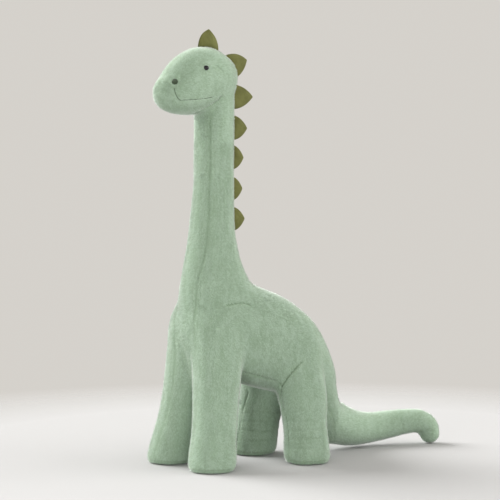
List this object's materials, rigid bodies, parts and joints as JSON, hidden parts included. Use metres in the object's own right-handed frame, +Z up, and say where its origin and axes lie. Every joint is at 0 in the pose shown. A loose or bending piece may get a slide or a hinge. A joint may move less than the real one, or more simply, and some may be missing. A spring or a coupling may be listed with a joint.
{
  "type": "stuffed dinosaur",
  "caption": "Tall standing plush dinosaur: four stuffed legs, long upright neck, small head, a row of soft spikes and a tail that rests on the floor; neck, tail and spikes bend.",
  "frame": {"origin": "middle of the footprint box on the floor that the soles stand on", "axes": "+Z up, -Y towards the snout, +X to the left side of the animal"},
  "size_m": [0.3964, 1.0934, 1.3603],
  "materials": {
    "plush": "short sage-green plush pile, soft and directional, matte",
    "plush_shade": "the same plush on the underside panels and soles, a little deeper",
    "spike_velour": "olive short-pile velour, lightly puffed",
    "filling": "white polyester fibre filling",
    "thread": "dark green embroidery thread with a slight sheen",
    "frame_wire": "drawn steel wire",
    "foot_board": "stiff off-white sheet insert",
    "washer": "moulded natural plastic locking washer",
    "eye": "glossy black moulded eye"
  },
  "bodies": {
    "body": {"front_leg_wire": "frame_wire", "hind_leg_wire": "frame_wire", "left_front_foot_board": "foot_board", "left_front_leg_filling": "filling", "left_front_sole": "plush_shade", "left_hind_foot_board": "foot_board", "left_hind_leg_filling": "filling", "left_hind_sole": "plush_shade", "left_side_cover": "plush", "right_front_foot_board": "foot_board", "right_front_leg_filling": "filling", "right_front_sole": "plush_shade", "right_hind_foot_board": "foot_board", "right_hind_leg_filling": "filling", "right_hind_sole": "plush_shade", "right_side_cover": "plush", "spine_wire": "frame_wire", "torso_filling": "filling", "underbody_gusset": "plush_shade"},
    "lower_neck": {"lower_neck_filling": "filling", "lower_neck_left_cover": "plush", "lower_neck_right_cover": "plush", "lower_neck_wire": "frame_wire", "lower_throat_gusset": "plush_shade"},
    "upper_neck": {"upper_neck_filling": "filling", "upper_neck_left_cover": "plush", "upper_neck_right_cover": "plush", "upper_neck_wire": "frame_wire", "upper_throat_gusset": "plush_shade"},
    "head": {"chin_gusset": "plush_shade", "head_filling": "filling", "left_eye": "eye", "left_eye_washer": "washer", "left_face_cover": "plush", "left_nostril": "thread", "mouth_stitching": "thread", "right_eye": "eye", "right_eye_washer": "washer", "right_face_cover": "plush", "right_nostril": "thread"},
    "tail_base": {"tail_base_filling": "filling", "tail_base_left_cover": "plush", "tail_base_right_cover": "plush"},
    "tail_middle": {"tail_middle_filling": "filling", "tail_middle_left_cover": "plush", "tail_middle_right_cover": "plush"},
    "tail_tip": {"tail_tip_filling": "filling", "tail_tip_left_cover": "plush", "tail_tip_right_cover": "plush"},
    "spike_1_leaf": {"spike_1": "spike_velour"},
    "spike_2_leaf": {"spike_2": "spike_velour"},
    "spike_3_leaf": {"spike_3": "spike_velour"},
    "spike_4_leaf": {"spike_4": "spike_velour"},
    "spike_5_leaf": {"spike_5": "spike_velour"},
    "spike_6_leaf": {"spike_6": "spike_velour"},
    "spike_7_leaf": {"spike_7": "spike_velour"}
  },
  "joints": [
    {"name": "neck_lean", "type": "hinge", "parent": "body", "child": "lower_neck", "pos_m": [-0.00698, -0.33891, 0.6899], "axis": [1, 0, 0], "range_deg": [-8, 8], "stiffness_Nm_per_rad": 60},
    {"name": "neck_sway", "type": "hinge", "parent": "lower_neck", "child": "upper_neck", "pos_m": [-0.00698, -0.33248, 0.91676], "axis": [0, 1, 0], "range_deg": [-10, 10], "stiffness_Nm_per_rad": 30},
    {"name": "head_nod", "type": "hinge", "parent": "upper_neck", "child": "head", "pos_m": [-0.00698, -0.33079, 1.10598], "axis": [1, 0, 0], "range_deg": [-10, 11], "stiffness_Nm_per_rad": 20},
    {"name": "tail_swing", "type": "hinge", "parent": "body", "child": "tail_base", "pos_m": [-0.01498, 0.15425, 0.09], "axis": [0, 0, 1], "range_deg": [-20, 20], "stiffness_Nm_per_rad": 6},
    {"name": "tail_lift", "type": "hinge", "parent": "tail_base", "child": "tail_middle", "pos_m": [-0.01698, 0.29425, 0.063], "axis": [1, 0, 0], "range_deg": [0, 20], "stiffness_Nm_per_rad": 4},
    {"name": "tail_curl", "type": "hinge", "parent": "tail_middle", "child": "tail_tip", "pos_m": [0.01294, 0.42008, 0.07459], "axis": [1, 0, 0], "range_deg": [0, 20], "stiffness_Nm_per_rad": 3},
    {"name": "spike_1_flop", "type": "hinge", "parent": "head", "child": "spike_1_leaf", "pos_m": [-0.00465, -0.353, 1.3029], "axis": [0.1034, -0.9835, 0.1485], "range_deg": [-22, 22], "stiffness_Nm_per_rad": 0.12},
    {"name": "spike_2_flop", "type": "hinge", "parent": "head", "child": "spike_2_leaf", "pos_m": [-0.01362, -0.26756, 1.24972], "axis": [0.0376, -0.3581, 0.9329], "range_deg": [-22, 22], "stiffness_Nm_per_rad": 0.12},
    {"name": "spike_3_flop", "type": "hinge", "parent": "head", "child": "spike_3_leaf", "pos_m": [-0.01358, -0.26796, 1.15784], "axis": [-0.0057, 0.0539, 0.9985], "range_deg": [-22, 22], "stiffness_Nm_per_rad": 0.12},
    {"name": "spike_4_flop", "type": "hinge", "parent": "upper_neck", "child": "spike_4_leaf", "pos_m": [-0.00698, -0.26819, 1.05999], "axis": [0, 0.0034, 1], "range_deg": [-22, 22], "stiffness_Nm_per_rad": 0.12},
    {"name": "spike_5_flop", "type": "hinge", "parent": "upper_neck", "child": "spike_5_leaf", "pos_m": [-0.00698, -0.26906, 0.96697], "axis": [0, 0.013, 0.9999], "range_deg": [-22, 22], "stiffness_Nm_per_rad": 0.12},
    {"name": "spike_6_flop", "type": "hinge", "parent": "lower_neck", "child": "spike_6_leaf", "pos_m": [-0.00698, -0.26986, 0.86802], "axis": [0, -0.0065, 1], "range_deg": [-22, 22], "stiffness_Nm_per_rad": 0.12},
    {"name": "spike_7_flop", "type": "hinge", "parent": "lower_neck", "child": "spike_7_leaf", "pos_m": [-0.00698, -0.26793, 0.77205], "axis": [0, -0.022, 0.9998], "range_deg": [-22, 22], "stiffness_Nm_per_rad": 0.12}
  ]
}
